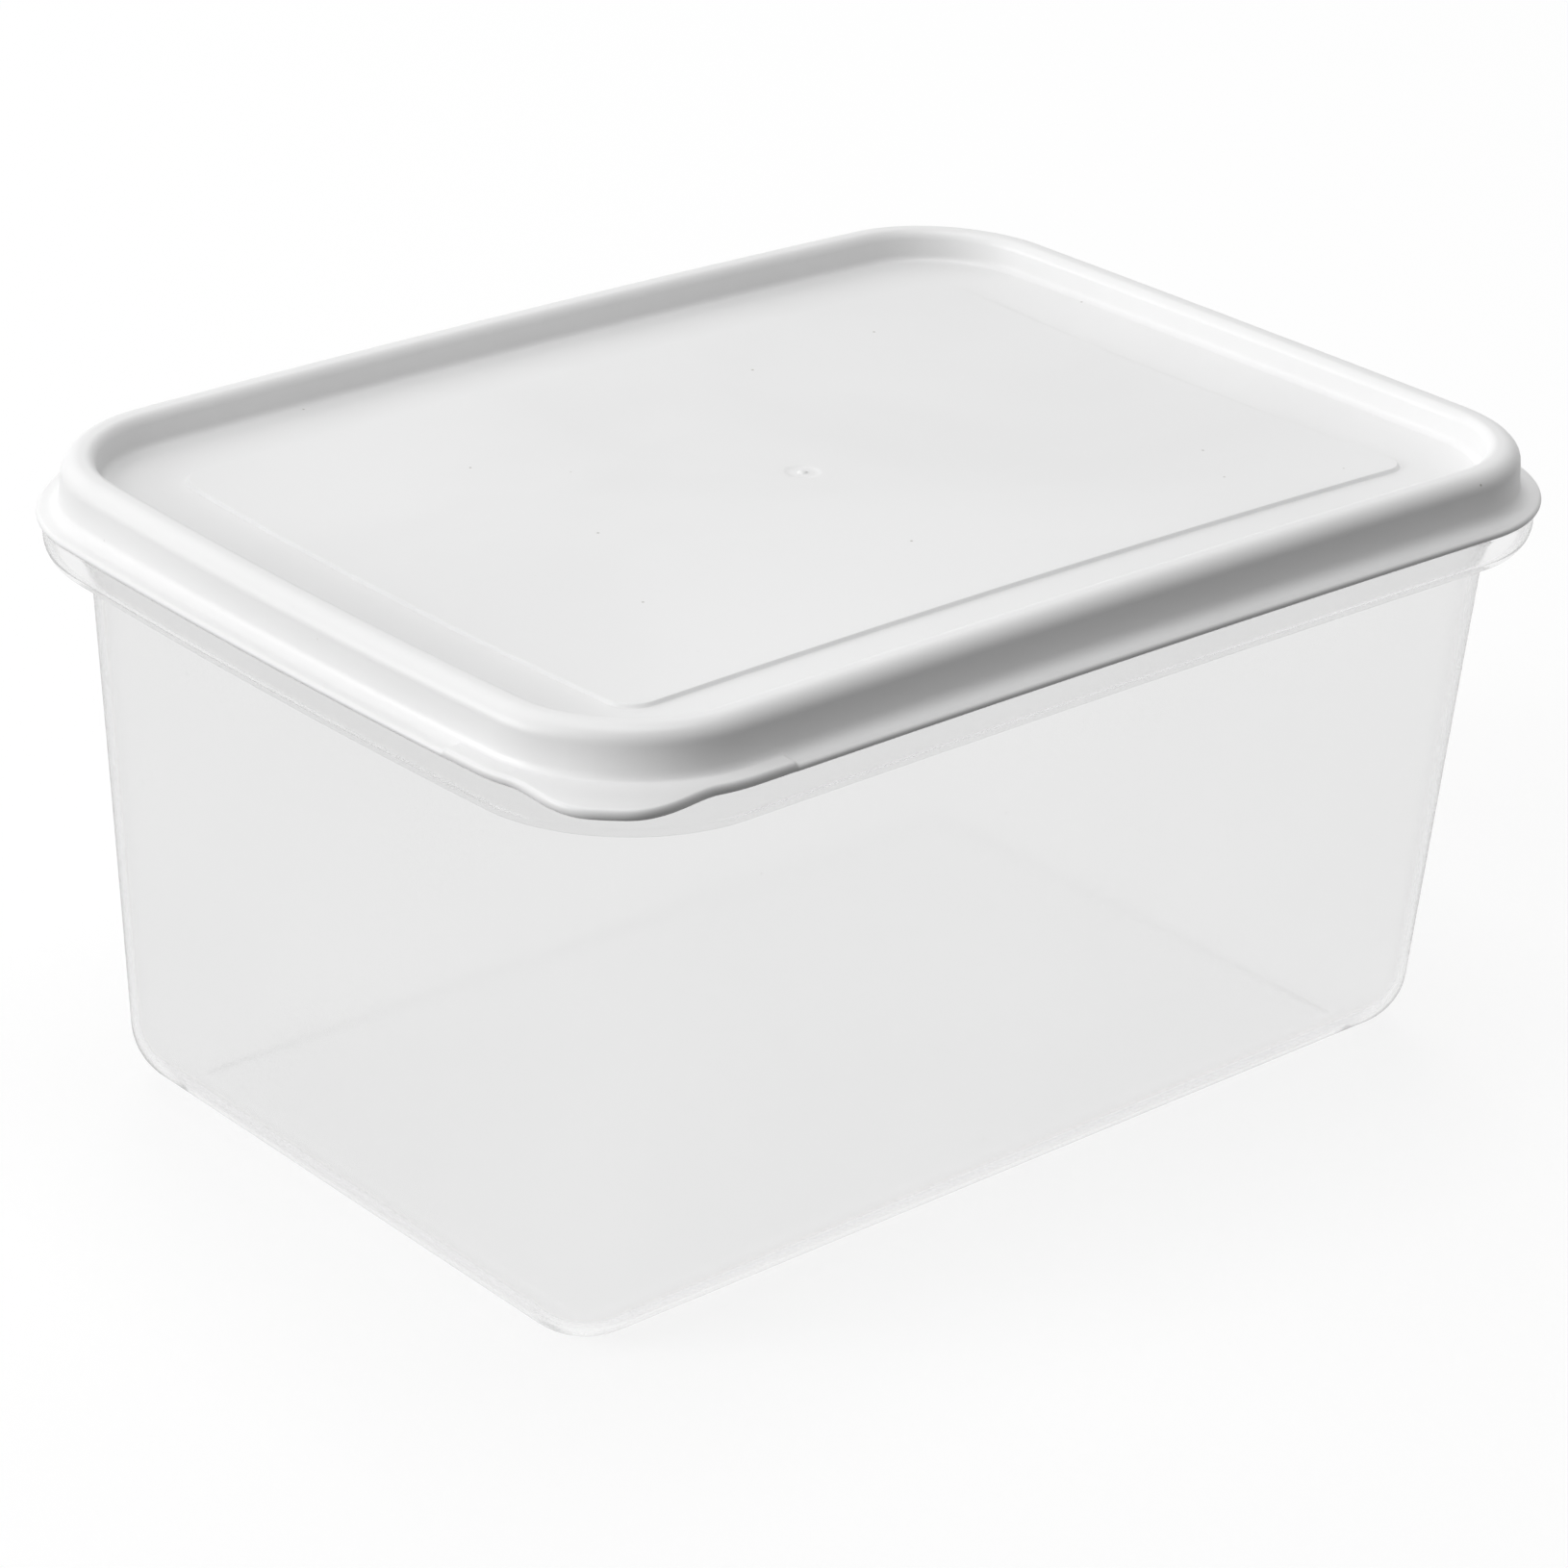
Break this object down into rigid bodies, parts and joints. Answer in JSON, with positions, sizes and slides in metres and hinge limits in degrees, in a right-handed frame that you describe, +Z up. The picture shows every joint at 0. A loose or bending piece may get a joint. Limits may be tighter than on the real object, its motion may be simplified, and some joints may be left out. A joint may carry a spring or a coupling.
{
  "type": "dough proofing container",
  "caption": "Rectangular plastic tub with tapered walls, a curled rim skirt and a press-on lid with a raised edge bead, a raised panel and a corner pull tab.",
  "frame": {"origin": "centre of the tub's underside, on the plane it rests on", "axes": "+X along the long side, +Y along the short side, +Z up out of the tub; the lid's pull tab is at the corner towards -X and -Y"},
  "size_m": [0.2744, 0.204, 0.14],
  "materials": {
    "tub_plastic": "translucent natural polypropylene, satin",
    "lid_plastic": "milky white polypropylene, satin"
  },
  "bodies": {
    "tub": {"tub": "tub_plastic"},
    "lid": {"lid": "lid_plastic"}
  },
  "joints": [
    {"name": "lid_lift", "type": "slide", "parent": "tub", "child": "lid", "axis": [0, 0, 1], "range_m": [0, 0.06]}
  ]
}
